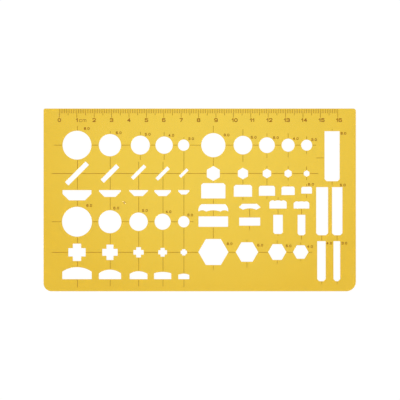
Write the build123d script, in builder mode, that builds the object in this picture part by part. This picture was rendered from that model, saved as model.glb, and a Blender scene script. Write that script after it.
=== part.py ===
import os
from functools import cache

from build123d import *

# A drawing template for metric screws, bolts and nuts: one thin sheet of clear amber plastic whose
# cut-outs guide a pencil, printed with a scale, centre lines and size numbers. It lies flat. +X runs
# along the sheet, +Y towards the edge with the scale, +Z up, and the origin is in the middle of the
# underside. Millimetres. Depths and rows are counted from the far edge, columns from the left end.

# Sheet
sheet_length = 179.5
sheet_width = 105.0
sheet_thickness = 1.2
near_left_radius = 4.6
near_right_radius = 5.5
far_left_radius = 1.0
far_right_radius = 1.5
edge_bevel = 0.12  # round the upper edges, the lower ones are sharp
cutter_radius = 0.2  # left in every corner of a cut-out
gate_mark_radius = 0.9
gate_mark_height = 0.12

# Print
ink_thickness = 0.04
line_width = 0.23
ink_gap = 0.3  # from the print to the rim of a cut-out

# Scale
division = 1.0
divisions_per_number = 10
zero_margin = 9.1  # from the left end of the sheet
division_mark_length = 2.4
half_mark_length = 3.6
whole_mark_length = 4.9
mark_edge_gap = 0.2  # from the edge's bevel to the marks
number_drop = 0.35  # from a long mark down to its number
number_height = 2.15
number_width = 1.95
number_stroke = 0.41
number_gap = 0.4  # between two figures
pair_shift = 0.7  # of two figures past their mark
unit_height = 1.5
unit_width = 1.6
unit_stroke = 0.22

# Size numbers beside the cut-outs
label_height = 1.5
label_width = 1.2
label_stroke = 0.3
label_gap = 0.3
label_room = 2.5  # for them, between the scale's numbers and the round heads
size_texts = "8.0", "6.0", "5.0", "4.0", "3.0"

# Largest cut-out of each kind, the others are shares of it
round_head = 16.6
cap_top = 13.9
lens_head = 17.2
drive_slot_length = 16.8
drive_slot_width = 2.85
socket_flats = 7.45
sunk_head_width = 16.6
sunk_head_height = 5.9
sunk_head_lip = 2.2
cap_side_width = 13.95
cap_side_height = 8.8
cap_side_bevel = 1.1
crown_width = 17.1
crown_height = 4.3
crown_arch_rise = 0.8
small_crown_lift = 1.1  # of its underside, above the largest one's
nut_side_width = 17.0
nut_side_height = 6.0
bolt_side_width = 9.95
bolt_side_height = 4.75
bolt_side_bevel = 0.7
bolt_arch_rise = 0.4
short_shank_width = 5.5
short_shank_length = 11.0
short_shank_bevel = 0.9
cross_length = 9.95
cross_arm = 4.8
hexagon_flats = 14.95
pan_head_width = 16.95
pan_head_side = 4.3
pan_head_rise = 2.65
shank_width = 8.7
shank_bevel = 1.2
shank_drop = 0.25  # of the first one, from the top of the round heads
shank_web = 3.4  # between one shank and the next below it
shank_near_margin = 5.75

# Each kind's sizes from the largest down, as shares of the largest
round_head_shares = 1, 0.771, 0.657, 0.599, 0.392
cap_top_shares = 1, 0.77, 0.651, 0.54, 0.457
lens_head_shares = 1, 0.767, 0.616, 0.538, 0.378
drive_slot_length_shares = 1, 0.753, 0.625, 0.571, 0.369
drive_slot_width_shares = 1, 0.947, 0.744, 0.733, 0.6
drive_slot_lift_shares = 0, 0, 0.26, 0, 0.08  # of the largest one's width
socket_shares = 1, 0.776, 0.641, 0.553, 0.434
sunk_head_shares = 1, 0.759, 0.651, 0.572, 0.386
sunk_head_height_shares = 1, 0.667, 0.583, 0.583, 0.433
sunk_head_lip_shares = 1, 0.364, 0.25, 0.455, 0.364
cap_side_width_shares = 1, 0.752, 0.667, 0.546, 0.443
cap_side_height_shares = 1, 0.775, 0.652, 0.556, 0.444
cap_side_bevel_shares = 1, 0.9, 0.8, 0.7, 0.6
cap_side_lift_shares = 0, 0, 0, 0, 0.088
cross_length_shares = 1, 0.891, 0.594, 0.505, 0.366
cross_arm_shares = 1, 0.837, 0.571, 0.51, 0.408
hexagon_shares = 1, 0.748, 0.606, 0.517
pan_head_width_shares = 1, 0.754, 0.602, 0.582, 0.374
pan_head_side_shares = 1, 0.767, 0.709, 0.79, 0.57
pan_head_rise_shares = 1, 0.83, 0.585, 0.302, 0.283
nut_side_width_shares = 1, 0.712
nut_side_height_shares = 1, 0.78
bolt_side_width_shares = 1, 0.906
bolt_side_height_shares = 1, 0.88
bolt_side_bevel_shares = 1, 1.2
bolt_arch_shares = 1, 0.6
short_shank_width_shares = 1, 0.809
short_shank_length_shares = 1, 1.068
shank_width_shares = 1, 0.79, 0.69, 0.563, 0.448

# Points of the nuts' and bolts' outlines, as shares of their half width or their height
bolt_cusp_share = 0.39
crown_top_share = 0.79
crown_shoulder_share = 0.965
crown_shoulder_height_share = 0.58
crown_cusp_share = 0.485
small_crown_share = 0.745
small_crown_height_share = 0.79
small_crown_top_share = 0.66
small_crown_cusp_share = 0.6
small_crown_tip_share = 0.4

# Gaps before the rows, as shares of what the rows leave free
screw_gap_shares = 0.104, 0.043, 0.106, 0.152, 0.165, 0.145
nut_gap_shares = 0.042, 0.112, 0.093, 0.239
bolt_gap_shares = 0.23, 0.318
shank_length_shares = 0.362, 0.348, 0.29  # of the room for the three rows of shanks
gate_mark_row_share = 0.5152

# Centre lines. Those along the rows start and end at shares of the sheet's length. Those down the
# columns have a place, as a share of its length, and start and end at shares of its width.
row_line_shares = (
    (0.0331, 0.8724),
    (0.0262, 0.8797),
    (0.0267, 0.4797),
    (0.0267, 0.8596),
    (0.873, 0.9239),
)
shank_line_share = 0.535  # of the largest shank's length, where its line crosses it
column_line_shares = (
    (0.1085, 0.0959, 0.9788),
    (0.2135, 0.1222, 0.9717),
    (0.3098, 0.1282, 0.2805),
    (0.3048, 0.2909, 0.9733),
    (0.3861, 0.1282, 0.28),
    (0.3825, 0.2909, 0.9733),
    (0.4495, 0.1583, 0.9771),
    (0.5435, 0.0942, 0.8842),
    (0.6384, 0.1134, 0.2914),
    (0.6384, 0.3856, 0.5006),
    (0.7153, 0.1364, 0.2706),
    (0.7153, 0.3144, 0.4952),
    (0.7831, 0.1364, 0.2679),
    (0.7831, 0.3144, 0.3938),
    (0.7831, 0.4165, 0.4505),
    (0.8424, 0.1528, 0.2487),
    (0.8424, 0.3172, 0.3911),
    (0.8424, 0.413, 0.4897),
    (0.66, 0.5472, 0.665),
    (0.7508, 0.487, 0.6978),
    (0.8259, 0.55, 0.7169),
    (0.6513, 0.7181, 0.8719),
    (0.7482, 0.7225, 0.8485),
    (0.8234, 0.7324, 0.8375),
    (0.9239, 0.1117, 0.4185),
    (0.8909, 0.69, 0.9607),
    (0.9398, 0.69, 0.9607),
)

# Size numbers: where the lower left corner of each lies from the middle of its cut-out, as
# shares of half the cut-out's width, and for the shanks also of half its length
round_label_shares = (0.48, 1.06), (0.53, 0.99), (0.48, 1.01), (0.5, 0.98), (0.82, 0.91)
cap_label_shares = (0.86, 0.73), (0.85, 0.7), (0.78, 0.78), (0.73, 0.8), (0.82, 0.76)
lens_label_shares = (0.63, 1.0), (0.3, 1.07), (0.38, 1.08), (0.38, 1.07), (0.62, 0.95)
hexagon_label_shares = (1.03, 0.53), (1.07, 0.565), (1.08, 0.61), (0.96, 0.62)
shank_label_shares = (1.12, 0.86), (-2.33, 1.06), (0.5, 1.03), (1.15, 0.83), (1.38, 0.83)

# Columns, as shares of the sheet's length from the left end
head_column_shares = 0.107, 0.2126, 0.3042, 0.3813, 0.449
round_column_shares = 0.107, 0.2126, 0.3098, 0.3861, 0.4485
cap_column_shares = 0.5435, 0.6384, 0.7153, 0.7831, 0.8424
side_column_shares = 0.5435, 0.66, 0.7508, 0.8259
hexagon_column_shares = 0.5437, 0.6513, 0.7482, 0.8234
shank_column_shares = 0.9239, 0.892, 0.9404, 0.8898, 0.9391
gate_mark_column_share = 0.2591


def along(share):
    """Place along X of a share of the sheet's length."""
    return (share - 1 / 2) * sheet_length


def across(depth):
    """Place along Y of a depth from the far edge."""
    return sheet_width / 2 - depth


def stacked(start, end, heights, gap_shares):
    """Depths at which rows start between two depths. What the rows leave free becomes the gaps."""
    free = end - start - sum(heights)
    depths = []
    for height, gap_share in zip(heights, gap_shares):
        start += gap_share * free
        depths.append(start)
        start += height
    return depths


# The scale's strip along the far edge
number_step = divisions_per_number * division
highest_number = int((sheet_length - 2 * zero_margin) / number_step)
zero = zero_margin - sheet_length / 2
marks_depth = edge_bevel + mark_edge_gap
numbers_foot = marks_depth + whole_mark_length + number_drop + number_height

# Rows of the screws on the left, from the strip to the near edge
slot_reach = (drive_slot_length + drive_slot_width) / 2**0.5
pan_head_height = pan_head_side + pan_head_rise
screw_heights = round_head, slot_reach, sunk_head_height, lens_head, cross_length, pan_head_height
round_start, slot_start, sunk_row, lens_start, cross_start, pan_start = stacked(
    numbers_foot + label_room, sheet_width, screw_heights, screw_gap_shares
)
round_row = round_start + round_head / 2
drive_row = slot_start + slot_reach / 2
lens_row = lens_start + lens_head / 2
cross_row = cross_start + cross_length / 2
pan_row = pan_start + pan_head_height

# Rows of the caps and nuts on the right, from the largest socket to the near edge
socket_foot = drive_row + socket_flats / 3**0.5
nut_heights = cap_side_height, crown_height, nut_side_height, hexagon_flats
cap_side_start, crown_start, nut_start, hexagon_start = stacked(
    socket_foot, sheet_width, nut_heights, nut_gap_shares
)
cap_side_row = cap_side_start + cap_side_height / 2
crown_row = crown_start + crown_height
nut_row = nut_start + nut_side_height / 2
hexagon_row = hexagon_start + hexagon_flats / 2

# Rows of the bolts, between the third cap and the third hexagon
bolt_heights = bolt_side_height, short_shank_length * max(short_shank_length_shares)
bolt_start, short_shank_start = stacked(
    cap_side_row + cap_side_height * cap_side_height_shares[2] / 2,
    hexagon_row - hexagon_flats * hexagon_shares[2] / 2,
    bolt_heights,
    bolt_gap_shares,
)
bolt_row = bolt_start + bolt_side_height

# Rows of the long shanks, the first beside the round heads: one shank, then two and two
shank_start = round_start + shank_drop
shank_room = sheet_width - shank_near_margin - shank_start - 2 * shank_web
large_shank, middle_shank, small_shank = (share * shank_room for share in shank_length_shares)
shank_lengths = large_shank, middle_shank, middle_shank, small_shank, small_shank
large_shank_row = shank_start + large_shank / 2
middle_shank_row = shank_start + large_shank + shank_web + middle_shank / 2
small_shank_row = sheet_width - shank_near_margin - small_shank / 2
shank_rows = large_shank_row, middle_shank_row, middle_shank_row, small_shank_row, small_shank_row


# Cut-outs. Each function adds one to the open sketch, about a point x, y.
def drive_slot(x, y, size):
    with Locations((x, y)):
        Rectangle(
            drive_slot_length * drive_slot_length_shares[size],
            drive_slot_width * drive_slot_width_shares[size],
            rotation=45,
        )


def sunk_head(x, y, size):
    """Countersunk head from the side: flat top at y, a lip, and flanks at 45 degrees."""
    half = sunk_head_width * sunk_head_shares[size] / 2
    height = sunk_head_height * sunk_head_height_shares[size]
    lip = sunk_head_lip * sunk_head_lip_shares[size]
    foot = half - (height - lip)
    with BuildLine() as outline:
        Polyline(
            (x - half, y),
            (x + half, y),
            (x + half, y - lip),
            (x + foot, y - height),
            (x - foot, y - height),
            (x - half, y - lip),
            close=True,
        )
    make_face(outline.edges())


def bevelled_box(x, y, width, height, bevel, top):
    """Rectangle about x, y with its two top or its two bottom corners cut off."""
    half = width / 2
    rise = height / 2 if top else -height / 2
    inset = bevel if top else -bevel
    with BuildLine() as outline:
        Polyline(
            (x - half, y - rise),
            (x + half, y - rise),
            (x + half, y + rise - inset),
            (x + half - bevel, y + rise),
            (x - half + bevel, y + rise),
            (x - half, y + rise - inset),
            close=True,
        )
    make_face(outline.edges())


def cross_recess(x, y, size):
    length = cross_length * cross_length_shares[size]
    arm = cross_arm * cross_arm_shares[size]
    with Locations((x, y)):
        Rectangle(length, arm)
        Rectangle(arm, length)


def pan_head(x, y, size):
    """Pan head from the side: flat underside at y, straight sides and an arc for its crown."""
    half = pan_head_width * pan_head_width_shares[size] / 2
    side = pan_head_side * pan_head_side_shares[size]
    height = side + pan_head_rise * pan_head_rise_shares[size]
    left, right = (x - half, y + side), (x + half, y + side)
    with BuildLine() as outline:
        Polyline(left, (x - half, y), (x + half, y), right)
        ThreePointArc(right, (x, y + height), left)
    make_face(outline.edges())


def arches(x, y, cusps, rise):
    """Arcs from cusp to cusp along a line at y, each rising by rise."""
    for start, end in zip(cusps, cusps[1:]):
        ThreePointArc((x + start, y), (x + (start + end) / 2, y + rise), (x + end, y))


def large_crown(x, y):
    """Chamfered side of the largest nut: flat top, round shoulders and three arches below."""
    half = crown_width / 2
    top = half * crown_top_share
    shoulder = half * crown_shoulder_share
    shoulder_rise = crown_height * crown_shoulder_height_share
    cusp = half * crown_cusp_share
    top_left, top_right = (x - top, y + crown_height), (x + top, y + crown_height)
    with BuildLine() as outline:
        arches(x, y, (-half, -cusp, cusp, half), crown_arch_rise)
        ThreePointArc((x + half, y), (x + shoulder, y + shoulder_rise), top_right)
        Line(top_right, top_left)
        ThreePointArc(top_left, (x - shoulder, y + shoulder_rise), (x - half, y))
    make_face(outline.edges())


def small_crown(x, y):
    """Chamfered side of the second nut: pointed ends, a flat top and one low arch below."""
    half = crown_width / 2 * small_crown_share
    height = crown_height * small_crown_height_share
    top = half * small_crown_top_share
    cusp = half * small_crown_cusp_share
    tip = height * small_crown_tip_share
    with BuildLine() as outline:
        arches(x, y, (-cusp, cusp), crown_arch_rise)
        Polyline(
            (x + cusp, y),
            (x + half, y + tip),
            (x + top, y + height),
            (x - top, y + height),
            (x - half, y + tip),
            (x - cusp, y),
        )
    make_face(outline.edges())


def bolt_head(x, y, size):
    """Bolt head from the side: flat underside at y, bevelled corners and three shallow arches on top."""
    half = bolt_side_width / 2 * bolt_side_width_shares[size]
    height = bolt_side_height * bolt_side_height_shares[size]
    rise = bolt_arch_rise * bolt_arch_shares[size]
    bevel = bolt_side_bevel * bolt_side_bevel_shares[size]
    cusp = half * bolt_cusp_share
    side = height - rise
    with BuildLine() as outline:
        Polyline(
            (x - half + bevel, y + side),
            (x - half, y + side - bevel),
            (x - half, y),
            (x + half, y),
            (x + half, y + side - bevel),
            (x + half - bevel, y + side),
        )
        arches(x, y + side, (bevel - half, -cusp, cusp, half - bevel), rise)
    make_face(outline.edges())


with BuildSketch() as cut_outs:
    for size, column in enumerate(head_column_shares):
        x = along(column)
        drive_slot(x, across(drive_row) + drive_slot_width * drive_slot_lift_shares[size], size)
        sunk_head(x, across(sunk_row), size)
        cross_recess(x, across(cross_row), size)
        pan_head(x, across(pan_row), size)
    for size, column in enumerate(cap_column_shares):
        with Locations((along(column), across(drive_row))):
            RegularPolygon(socket_flats * socket_shares[size] / 2, 6, major_radius=False, rotation=90)
        width = cap_side_width * cap_side_width_shares[size]
        height = cap_side_height * cap_side_height_shares[size]
        bevel = cap_side_bevel * cap_side_bevel_shares[size]
        middle = across(cap_side_row) + height * cap_side_lift_shares[size]
        bevelled_box(along(column), middle, width, height, bevel, top=True)
    for size, column in enumerate(hexagon_column_shares):
        with Locations((along(column), across(hexagon_row))):
            RegularPolygon(hexagon_flats * hexagon_shares[size] / 2, 6, major_radius=False, rotation=0)
    large_nut_column, small_nut_column, *bolt_columns = side_column_shares
    large_crown(along(large_nut_column), across(crown_row))
    small_crown(along(small_nut_column), across(crown_row) + small_crown_lift)
    for size, column in enumerate((large_nut_column, small_nut_column)):
        width = nut_side_width * nut_side_width_shares[size]
        height = nut_side_height * nut_side_height_shares[size]
        with Locations((along(column), across(nut_row))):
            Rectangle(width, height)
    for size, column in enumerate(bolt_columns):
        bolt_head(along(column), across(bolt_row), size)
        width = short_shank_width * short_shank_width_shares[size]
        length = short_shank_length * short_shank_length_shares[size]
        middle = across(short_shank_start + length / 2)
        bevelled_box(along(column), middle, width, length, short_shank_bevel, top=False)
    for size, column in enumerate(shank_column_shares):
        width = shank_width * shank_width_shares[size]
        middle = across(shank_rows[size])
        bevelled_box(along(column), middle, width, shank_lengths[size], shank_bevel, top=False)
    fillet(cut_outs.vertices(), radius=cutter_radius)
    for diameter, shares, columns, row in (
        (round_head, round_head_shares, round_column_shares, round_row),
        (cap_top, cap_top_shares, cap_column_shares, round_row),
        (lens_head, lens_head_shares, head_column_shares, lens_row),
    ):
        for share, column in zip(shares, columns):
            with Locations((along(column), across(row))):
                Circle(diameter * share / 2)

with BuildPart() as template_sheet:
    with BuildSketch():
        with BuildLine():
            FilletPolyline(
                (-sheet_length / 2, -sheet_width / 2),
                (sheet_length / 2, -sheet_width / 2),
                (sheet_length / 2, sheet_width / 2),
                (-sheet_length / 2, sheet_width / 2),
                radius=(near_left_radius, near_right_radius, far_right_radius, far_left_radius),
                close=True,
            )
        make_face()
        add(cut_outs.sketch, mode=Mode.SUBTRACT)
    extrude(amount=sheet_thickness)
    chamfer(template_sheet.edges().group_by(Axis.Z)[-1], length=edge_bevel)
    gate_row = across(gate_mark_row_share * sheet_width)
    with Locations((along(gate_mark_column_share), gate_row, sheet_thickness)):
        Cone(
            bottom_radius=gate_mark_radius,
            top_radius=gate_mark_radius / 2,
            height=gate_mark_height,
            align=(Align.CENTER, Align.CENTER, Align.MIN),
        )

# Strokes of each figure. Corners are shares of the figure's width and height. A "loop" is a closed
# stroke with round corners, a "bend" an open one, and a "line" has sharp corners.
figure_shares = {
    "0": [("loop", (0, 0), (1, 1))],
    "1": [("line", (0, 0.7), (1, 1), (1, 0))],
    "2": [("bend", (0, 0.76), (0, 1), (1, 1), (1, 0.55), (0, 0)), ("line", (0, 0), (1, 0))],
    "3": [
        ("bend", (0, 0.78), (0, 1), (1, 1), (1, 0.53), (0.3, 0.53)),
        ("bend", (0.3, 0.53), (1, 0.53), (1, 0), (0, 0), (0, 0.22)),
    ],
    "4": [("line", (0.72, 0), (0.72, 1), (0, 0.28)), ("line", (0, 0.28), (1, 0.28))],
    "5": [
        ("line", (0.95, 1), (0.1, 1), (0.05, 0.58)),
        ("bend", (0.05, 0.58), (1, 0.58), (1, 0), (0, 0), (0, 0.22)),
    ],
    "6": [("loop", (0, 0), (1, 0.58)), ("bend", (0, 0.29), (0, 1), (0.95, 1))],
    "7": [("line", (0, 1), (1, 1), (0.35, 0))],
    "8": [("loop", (0, 0), (1, 0.53)), ("loop", (0.04, 0.53), (0.96, 1))],
    "9": [("loop", (0, 0.42), (1, 1)), ("bend", (1, 0.71), (1, 0), (0.05, 0))],
    "c": [("bend", (1, 0.78), (1, 1), (0, 1), (0, 0), (1, 0), (1, 0.22))],
    "m": [
        ("line", (0, 0), (0, 1)),
        ("bend", (0, 0.7), (0, 1), (0.5, 1), (0.5, 0)),
        ("bend", (0.5, 0.7), (0.5, 1), (1, 1), (1, 0)),
    ],
    ".": [("dot", (0, 0))],
}
figure_width_shares = {"1": 0.55, "m": 1.3, ".": 0.22}
bend_share = 0.18  # radius of a bend, of the figure's height between its stroke's middles
tall_loop_share = 0.45  # radius of a loop that is a whole figure high, of its width


def length_of(text, width, gap):
    """Length of a row of figures."""
    return sum(width * figure_width_shares.get(figure, 1) for figure in text) + gap * (len(text) - 1)


@cache
def stroke_figure(figure, width, height, stroke):
    """Sketch of one figure, from the lower left corner of its box."""
    right, top = width - stroke, height - stroke
    with BuildSketch(mode=Mode.PRIVATE) as strokes:
        for kind, *corners in figure_shares[figure]:
            points = [(stroke / 2 + x * right, stroke / 2 + y * top) for x, y in corners]
            bend = bend_share * top
            if kind == "loop":
                (low_x, low_y), (high_x, high_y) = points
                loop_width, loop_height = high_x - low_x, high_y - low_y
                if loop_height > loop_width:
                    bend = tall_loop_share * loop_width
                with Locations(((low_x + high_x) / 2, (low_y + high_y) / 2)):
                    RectangleRounded(loop_width + stroke, loop_height + stroke, bend + stroke / 2)
                    RectangleRounded(
                        loop_width - stroke, loop_height - stroke, bend - stroke / 2, mode=Mode.SUBTRACT
                    )
            elif kind == "dot":
                with Locations(points):
                    Circle(stroke / 2)
            else:
                with BuildLine() as path:
                    if kind == "bend":
                        FilletPolyline(*points, radius=bend)
                    else:
                        Polyline(*points)
                SlotArc(path.wires()[0], height=stroke)
    return strokes.sketch


def lettering(text, start, foot, width, height, stroke, gap):
    """Add a row of figures to the open sketch, from its left end and its foot."""
    for figure in text:
        figure_width = width * figure_width_shares.get(figure, 1)
        with Locations((start, foot)):
            add(stroke_figure(figure, figure_width, height, stroke))
        start += figure_width + gap


def size_numbers(places, halves, corner_shares):
    """Add a size number beside each cut-out, from the cut-out's middle and its half sizes."""
    for size_text, (x, y), (half_width, half_length), (right, up) in zip(
        size_texts, places, halves, corner_shares
    ):
        start, foot = x + right * half_width, y + up * half_length
        lettering(size_text, start, foot, label_width, label_height, label_stroke, label_gap)


def round_size_numbers(diameter, shares, columns, row, corner_shares):
    """Add the size numbers beside one row of round or hexagonal cut-outs."""
    places = [(along(column), across(row)) for column in columns]
    halves = [(diameter * share / 2, diameter * share / 2) for share in shares]
    size_numbers(places, halves, corner_shares)


print_plane = Plane.XY.offset(sheet_thickness)
every_mark = range(highest_number * divisions_per_number + 1)
whole_marks = every_mark[::divisions_per_number]
half_marks = every_mark[divisions_per_number // 2 :: divisions_per_number]
division_marks = sorted(set(every_mark) - set(whole_marks) - set(half_marks))


def scale_marks(indexes, length):
    """Rectangles of the scale's marks with these indexes, hung from the far edge."""
    with Locations([(zero + index * division, across(marks_depth)) for index in indexes]):
        Rectangle(line_width, length, align=(Align.CENTER, Align.MAX))


with BuildPart() as millimetre_marks:
    with BuildSketch(print_plane):
        scale_marks(division_marks, division_mark_length)
    extrude(amount=ink_thickness)

with BuildPart() as half_centimetre_marks:
    with BuildSketch(print_plane):
        scale_marks(half_marks, half_mark_length)
    extrude(amount=ink_thickness)

with BuildPart() as centimetre_marks:
    with BuildSketch(print_plane):
        scale_marks(whole_marks, whole_mark_length)
    extrude(amount=ink_thickness)

with BuildPart() as scale_numbers:
    with BuildSketch(print_plane):
        for number in range(highest_number + 1):
            text = str(number)
            middle = zero + number * number_step + (pair_shift if len(text) > 1 else 0)
            start = middle - length_of(text, number_width, number_gap) / 2
            foot = across(numbers_foot)
            lettering(text, start, foot, number_width, number_height, number_stroke, number_gap)
    extrude(amount=ink_thickness)

with BuildPart() as unit_mark:
    with BuildSketch(print_plane):
        start = zero + number_step + number_width / 2 + number_gap
        foot = across(numbers_foot)
        lettering("cm", start, foot, unit_width, unit_height, unit_stroke, number_gap)
    extrude(amount=ink_thickness)

# The lines stop short of every cut-out's rim
with BuildSketch() as kept_clear:
    add(cut_outs.sketch)
    offset(amount=ink_gap, kind=Kind.INTERSECTION)

line_rows = round_row, drive_row, lens_row, cross_row, shank_start + large_shank * shank_line_share

with BuildPart() as row_lines:
    with BuildSketch(print_plane):
        for row, (start, end) in zip(line_rows, row_line_shares):
            with Locations(((along(start) + along(end)) / 2, across(row))):
                Rectangle(along(end) - along(start), line_width)
        add(kept_clear.sketch, mode=Mode.SUBTRACT)
    extrude(amount=ink_thickness)

with BuildPart() as column_lines:
    with BuildSketch(print_plane):
        for column, start, end in column_line_shares:
            with Locations((along(column), across((start + end) / 2 * sheet_width))):
                Rectangle(line_width, (end - start) * sheet_width)
        add(kept_clear.sketch, mode=Mode.SUBTRACT)
    extrude(amount=ink_thickness)

with BuildPart() as round_head_sizes:
    with BuildSketch(print_plane):
        round_size_numbers(
            round_head, round_head_shares, round_column_shares, round_row, round_label_shares
        )
    extrude(amount=ink_thickness)

with BuildPart() as cap_head_sizes:
    with BuildSketch(print_plane):
        round_size_numbers(cap_top, cap_top_shares, cap_column_shares, round_row, cap_label_shares)
    extrude(amount=ink_thickness)

with BuildPart() as lens_head_sizes:
    with BuildSketch(print_plane):
        round_size_numbers(
            lens_head, lens_head_shares, head_column_shares, lens_row, lens_label_shares
        )
    extrude(amount=ink_thickness)

with BuildPart() as hexagon_sizes:
    with BuildSketch(print_plane):
        round_size_numbers(
            hexagon_flats, hexagon_shares, hexagon_column_shares, hexagon_row, hexagon_label_shares
        )
    extrude(amount=ink_thickness)

with BuildPart() as shank_sizes:
    with BuildSketch(print_plane):
        places = [(along(column), across(row)) for column, row in zip(shank_column_shares, shank_rows)]
        halves = [
            (shank_width * width_share / 2, length / 2)
            for width_share, length in zip(shank_width_shares, shank_lengths)
        ]
        size_numbers(places, halves, shank_label_shares)
    extrude(amount=ink_thickness)

pieces = {
    "template_sheet": template_sheet,
    "millimetre_marks": millimetre_marks,
    "half_centimetre_marks": half_centimetre_marks,
    "centimetre_marks": centimetre_marks,
    "scale_numbers": scale_numbers,
    "unit_mark": unit_mark,
    "row_lines": row_lines,
    "column_lines": column_lines,
    "round_head_sizes": round_head_sizes,
    "cap_head_sizes": cap_head_sizes,
    "lens_head_sizes": lens_head_sizes,
    "hexagon_sizes": hexagon_sizes,
    "shank_sizes": shank_sizes,
}
os.makedirs("parts", exist_ok=True)
for name, piece in pieces.items():
    piece.part.label = name
    export_step(piece.part, f"parts/{name}.step")
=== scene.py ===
import bpy
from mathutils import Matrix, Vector

# A screw and nut drawing template: one sheet of clear amber plastic with printed lines and numbers.
# Every shape is the CAD model's own. This script gives the finishes, the light, the floor and the
# camera. Lengths are metres and turns are radians.

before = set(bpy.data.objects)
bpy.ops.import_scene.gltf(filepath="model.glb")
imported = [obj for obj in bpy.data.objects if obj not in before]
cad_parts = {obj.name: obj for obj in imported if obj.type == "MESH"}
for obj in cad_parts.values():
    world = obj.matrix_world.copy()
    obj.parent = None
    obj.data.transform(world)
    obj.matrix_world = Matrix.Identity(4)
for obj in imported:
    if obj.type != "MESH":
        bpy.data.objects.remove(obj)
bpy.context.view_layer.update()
print("loaded", len(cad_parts), "nodes")


# Helpers for node materials. An owner is the material or the world whose nodes they add to.

noiseMiddle = 0.5  # the mean of every noise


def newMaterial(name):
    material = bpy.data.materials.new(name)
    material.use_nodes = True
    material.node_tree.nodes.clear()
    return material


# An input is given by its name or number, and gets a link from a socket or a plain value
def addNode(owner, kind, inputs=None, **settings):
    node = owner.node_tree.nodes.new(kind)
    for key, value in settings.items():
        setattr(node, key, value)
    for key, value in (inputs or {}).items():
        if isinstance(value, bpy.types.NodeSocket):
            owner.node_tree.links.new(value, node.inputs[key])
        else:
            node.inputs[key].default_value = value
    return node


def mathNode(owner, operation, first, second=0.0, clamp=False):
    node = addNode(owner, "ShaderNodeMath", {0: first, 1: second}, operation=operation, use_clamp=clamp)
    return node.outputs[0]


def vectorMeasure(owner, operation, first, second=None):
    inputs = {0: first} if second is None else {0: first, 1: second}
    return addNode(owner, "ShaderNodeVectorMath", inputs, operation=operation).outputs["Value"]


def mixNumbers(owner, factor, first, second):
    return addNode(owner, "ShaderNodeMix", {0: factor, 2: first, 3: second}, data_type="FLOAT").outputs[0]


def mixColours(owner, factor, first, second):
    return addNode(owner, "ShaderNodeMix", {0: factor, 6: first, 7: second}, data_type="RGBA").outputs[2]


# From low to high as the value crosses the span, and flat outside it
def ramp(owner, value, span, low=0.0, high=1.0):
    inputs = {0: value, 1: span[0], 2: span[1], 3: low, 4: high}
    return addNode(owner, "ShaderNodeMapRange", inputs).outputs[0]


def bump(owner, height, distance, strength, normal=None):
    inputs = {"Height": height, "Distance": distance, "Strength": strength}
    if normal:
        inputs["Normal"] = normal
    return addNode(owner, "ShaderNodeBump", inputs).outputs[0]


def objectCoordinates(owner, turn=0.0, stretch=(1, 1, 1), shift=(0, 0, 0)):
    place = addNode(owner, "ShaderNodeTexCoord")
    mapping = addNode(owner, "ShaderNodeMapping", {
        "Vector": place.outputs["Object"], "Rotation": (0, 0, turn), "Scale": stretch, "Location": shift})
    return mapping.outputs[0]


# In the sheet's plane, counted from a centre in shares of a reach
def planeCoordinates(owner, centre, reach=(1, 1)):
    (centreX, centreY), (reachX, reachY) = centre, reach
    return objectCoordinates(owner, stretch=(1 / reachX, 1 / reachY, 0),
                             shift=(-centreX / reachX, -centreY / reachY, 0))


def noise(owner, scale, detail=2.0, roughness=0.5, turn=0.0, stretch=(1, 1, 1)):
    vector = objectCoordinates(owner, turn, stretch)
    node = addNode(owner, "ShaderNodeTexNoise",
                   {"Vector": vector, "Scale": scale, "Detail": detail, "Roughness": roughness})
    return node.outputs["Fac"]


# Sheet: clear amber plastic

sheetFinish = {
    "paleTint": (0.898, 0.735, 0.385, 1),  # of the surface, at its palest, near the middle
    "deepTint": (0.835, 0.632, 0.194, 1),  # and at its deepest, towards the edges
    "palePlace": (0.005, 0.035),  # from the middle of the sheet
    "paleReach": (0.11, 0.095),  # from there to the deep tint
    "clouds": (38.0, 3.0, 0.6),  # scale, detail and roughness of the noise, as in all such rows
    "cloudStrength": 0.22,
    "letThrough": (0.995, 0.92, 0.0, 1),  # what it lacks to 1, times the density, is the absorption in a metre
    "density": 1500.0,
    "ior": 1.49,
    "gloss": 0.035,  # roughness of the clean face
    "smudge": 0.12,  # roughness where it has been handled
    "smudges": (45.0, 4.0, 0.6),
    "smudgeRange": (0.5, 0.72),  # of the noise, from clean to handled
    "waves": (70.0, 1.0),  # scale and detail
    "waveDepth": 0.00006,
    "waveStrength": 0.25,
    "scratch": 0.24,  # roughness inside a scratch
    "scratchDepth": 0.0000015,
    "scratchStrength": 0.5,
    "scratchSets": ((520.0, 0.35, 0.012), (430.0, 1.9, 0.010)),  # noise scale, turn and thinness of the lines
    "scratchDetail": (1.0, 0.4),  # detail and roughness of that noise
    "scratchStretch": (1, 0.06, 1),
    "scratchPatches": (55.0, 2.0, 0.5),
    "scratchPatchTurn": 1.0,  # past the turn of the lines
    "scratchPatchRange": (0.52, 0.62),  # of the noise, from unscratched to scratched
    "gatePlace": (-0.04324, -0.0016),
    "gateRadius": 0.0008,
    "gateRim": (1.3, 1.05),  # in shares of the radius, from clear to rough
    "gateRags": (2200.0, 2.0),
    "gateRagShare": 0.9,  # of the radius
    # painted shade: the gate mark's darker tint stands in for the shading of its small bump
    "gateShadeTint": (0.55, 0.34, 0.05, 1),
    "gateRoughness": 0.45,
}


# 0 to 1: the squared distance from the palest place, in shares of its reach, plus soft clouds
def paleToDeepShare(material, finish):
    place = planeCoordinates(material, finish["palePlace"], finish["paleReach"])
    squared = vectorMeasure(material, "DOT_PRODUCT", place, place)
    clouds = mathNode(material, "SUBTRACT", noise(material, *finish["clouds"]), noiseMiddle)
    clouds = mathNode(material, "MULTIPLY", clouds, finish["cloudStrength"])
    return mathNode(material, "ADD", squared, clouds, clamp=True)
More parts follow.
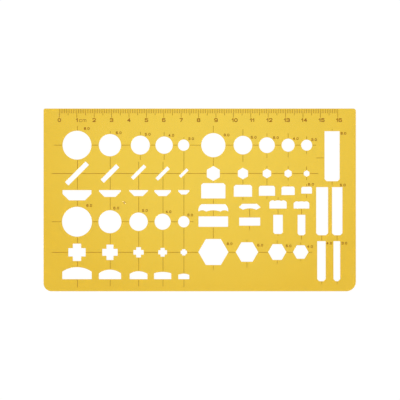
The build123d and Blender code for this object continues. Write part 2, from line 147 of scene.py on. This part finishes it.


# 1 on the rough spot that the mould's gate left, 0 outside its ragged rim. It also places the painted shade
# there
def gateMask(material, finish):
    radius = finish["gateRadius"]
    away = vectorMeasure(material, "LENGTH", planeCoordinates(material, finish["gatePlace"]))
    rags = mathNode(material, "MULTIPLY", noise(material, *finish["gateRags"]),
                    radius * finish["gateRagShare"])
    share = mathNode(material, "DIVIDE", mathNode(material, "ADD", away, rags), radius)
    return ramp(material, share, finish["gateRim"])


# 1 on the hair lines where stretched noise crosses its middle value, 0 elsewhere
def scratchLines(material, finish, scale, turn, thinness):
    field = noise(material, scale, *finish["scratchDetail"], turn, finish["scratchStretch"])
    off = mathNode(material, "ABSOLUTE", mathNode(material, "SUBTRACT", field, noiseMiddle))
    line = ramp(material, off, (0.0, thinness), 1.0, 0.0)
    patches = noise(material, *finish["scratchPatches"], turn + finish["scratchPatchTurn"])
    patches = ramp(material, patches, finish["scratchPatchRange"])
    return mathNode(material, "MULTIPLY", line, patches)


# Tinted refraction with the dye's absorption inside, smudged and finely scratched by use, with a painted shade
# on the mould's gate mark
def makeSheetMaterial():
    finish = sheetFinish
    material = newMaterial("amberPlastic")
    gate = gateMask(material, finish)
    tint = mixColours(material, paleToDeepShare(material, finish), finish["paleTint"], finish["deepTint"])
    # painted shade: the gate mark is tinted darker in place of its bump's shading; its roughness is real
    tint = mixColours(material, gate, tint, finish["gateShadeTint"])
    firstSet, secondSet = (scratchLines(material, finish, *values) for values in finish["scratchSets"])
    scratches = mathNode(material, "MAXIMUM", firstSet, secondSet)
    roughness = ramp(material, noise(material, *finish["smudges"]), finish["smudgeRange"],
                     finish["gloss"], finish["smudge"])
    for mask, value in ((scratches, finish["scratch"]), (gate, finish["gateRoughness"])):
        roughness = mathNode(material, "MAXIMUM", roughness, mathNode(material, "MULTIPLY", mask, value))
    normal = bump(material, noise(material, *finish["waves"]), finish["waveDepth"], finish["waveStrength"])
    normal = bump(material, scratches, -finish["scratchDepth"], finish["scratchStrength"], normal)
    surface = addNode(material, "ShaderNodeBsdfPrincipled", {
        "Base Color": tint, "Roughness": roughness, "IOR": finish["ior"],
        "Transmission Weight": 1.0, "Normal": normal})
    inside = addNode(material, "ShaderNodeVolumeAbsorption",
                     {"Color": finish["letThrough"], "Density": finish["density"]})
    addNode(material, "ShaderNodeOutputMaterial",
            {"Surface": surface.outputs[0], "Volume": inside.outputs[0]})
    return material


# Print: thin dark brown ink, a little uneven and worn

inkFinish = {
    "colour": (0.2, 0.045, 0.0, 1),
    "wornColour": (0.31, 0.11, 0.0, 1),
    "patches": (420.0, 3.0, 0.6),
    "patchRange": (0.48, 0.75),  # of the noise, from fresh to worn
    "roughness": 0.6,
    "shine": 0.08,
    "grain": (6000.0, 2.0),
    "grainDepth": 0.000004,
    "grainStrength": 0.4,
}


# Matt ink whose coat is thinner in small patches
def makeInkMaterial():
    finish = inkFinish
    material = newMaterial("printInk")
    worn = ramp(material, noise(material, *finish["patches"]), finish["patchRange"])
    colour = mixColours(material, worn, finish["colour"], finish["wornColour"])
    grain = bump(material, noise(material, *finish["grain"]), finish["grainDepth"], finish["grainStrength"])
    surface = addNode(material, "ShaderNodeBsdfPrincipled", {
        "Base Color": colour, "Roughness": finish["roughness"],
        "Specular IOR Level": finish["shine"], "Normal": grain})
    addNode(material, "ShaderNodeOutputMaterial", {"Surface": surface.outputs[0]})
    return material


finishes = {"template_sheet": makeSheetMaterial()}
ink = makeInkMaterial()
for name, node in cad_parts.items():
    material = finishes.get(name, ink)
    if not node.material_slots:
        node.data.materials.append(material)
    for slot in node.material_slots:
        slot.material = material
print("materials set")


# Floor

floorSettings = {
    "drop": 0.0002,  # below the sheet's underside
    "half": 3.0,  # of a side
    "colour": (0.9, 0.9, 0.9, 1),  # where it takes the lamps' light
    "white": (1, 1, 1, 1),
    "whiteShare": 0.9,  # of what is seen of it that doesn't depend on the lamps
}


# Nearly even white for the camera, in reflections and through the clear sheet. For all other light it
# is matt paper.
def makeFloor():
    half, drop = floorSettings["half"], floorSettings["drop"]
    mesh = bpy.data.meshes.new("floor")
    corners = [(-half, -half, -drop), (half, -half, -drop), (half, half, -drop), (-half, half, -drop)]
    mesh.from_pydata(corners, [], [(0, 1, 2, 3)])
    floor = bpy.data.objects.new("floor", mesh)
    bpy.context.scene.collection.objects.link(floor)
    material = newMaterial("paperFloor")
    path = addNode(material, "ShaderNodeLightPath").outputs
    seen = mathNode(material, "ADD", path["Is Camera Ray"], path["Is Glossy Ray"])
    seen = mathNode(material, "ADD", seen, path["Is Transmission Ray"], clamp=True)
    share = mathNode(material, "MULTIPLY", seen, floorSettings["whiteShare"])
    lit = addNode(material, "ShaderNodeBsdfDiffuse", {"Color": floorSettings["colour"]})
    white = addNode(material, "ShaderNodeEmission", {"Color": floorSettings["white"], "Strength": 1.0})
    mix = addNode(material, "ShaderNodeMixShader", {0: share, 1: lit.outputs[0], 2: white.outputs[0]})
    addNode(material, "ShaderNodeOutputMaterial", {"Surface": mix.outputs[0]})
    mesh.materials.append(material)


# Light

lightSettings = {
    "lamps": {  # name: place, size and power
        "key": ((-0.36, 0.33, 1.2), 0.5, 9.0),
        "fill": ((0.4, -0.28, 1.2), 0.5, 5.0),
    },
    "worldColour": (1, 1, 1, 1),
    "worldSeen": 1.0,  # strength for the camera and through the clear sheet
    "worldStrength": 0.65,  # strength for all other light
    "bounces": 32,  # light crosses the sheet many times before it leaves by an edge
}


def makeLights():
    scene = bpy.context.scene
    for name, (place, size, power) in lightSettings["lamps"].items():
        light = bpy.data.lights.new(name, "AREA")
        light.shape, light.size, light.energy = "DISK", size, power
        lamp = bpy.data.objects.new(name, light)
        lamp.location = place
        lamp.rotation_euler = (-Vector(place)).to_track_quat("-Z", "Y").to_euler()
        scene.collection.objects.link(lamp)
    world = bpy.data.worlds.new("studio")
    world.use_nodes = True
    world.node_tree.nodes.clear()
    path = addNode(world, "ShaderNodeLightPath").outputs
    seen = mathNode(world, "ADD", path["Is Camera Ray"], path["Is Transmission Ray"], clamp=True)
    strength = mixNumbers(world, seen, lightSettings["worldStrength"], lightSettings["worldSeen"])
    background = addNode(world, "ShaderNodeBackground",
                         {"Color": lightSettings["worldColour"], "Strength": strength})
    addNode(world, "ShaderNodeOutputWorld", {"Surface": background.outputs[0]})
    scene.world = world
    for kind in ("max", "glossy", "transmission"):
        setattr(scene.cycles, kind + "_bounces", lightSettings["bounces"])


# Camera, straight above the sheet

cameraView = {
    "pictureWidth": 0.23006,  # across the picture, at the sheet
    "centre": (0.00017, -0.00007),
    "distance": 1.6,
    "clip": (0.01, 20.0),
    "sensor": 36.0,  # millimetres
}


def makeCamera():
    data = bpy.data.cameras.new("camera")
    data.sensor_width = cameraView["sensor"]
    data.lens = cameraView["sensor"] * cameraView["distance"] / cameraView["pictureWidth"]
    data.clip_start, data.clip_end = cameraView["clip"]
    camera = bpy.data.objects.new("camera", data)
    camera.location = (*cameraView["centre"], cameraView["distance"])
    bpy.context.scene.collection.objects.link(camera)
    bpy.context.scene.camera = camera


makeFloor()
makeLights()
makeCamera()
bpy.context.scene.view_settings.view_transform = "Standard"
print("stage, light and camera set")
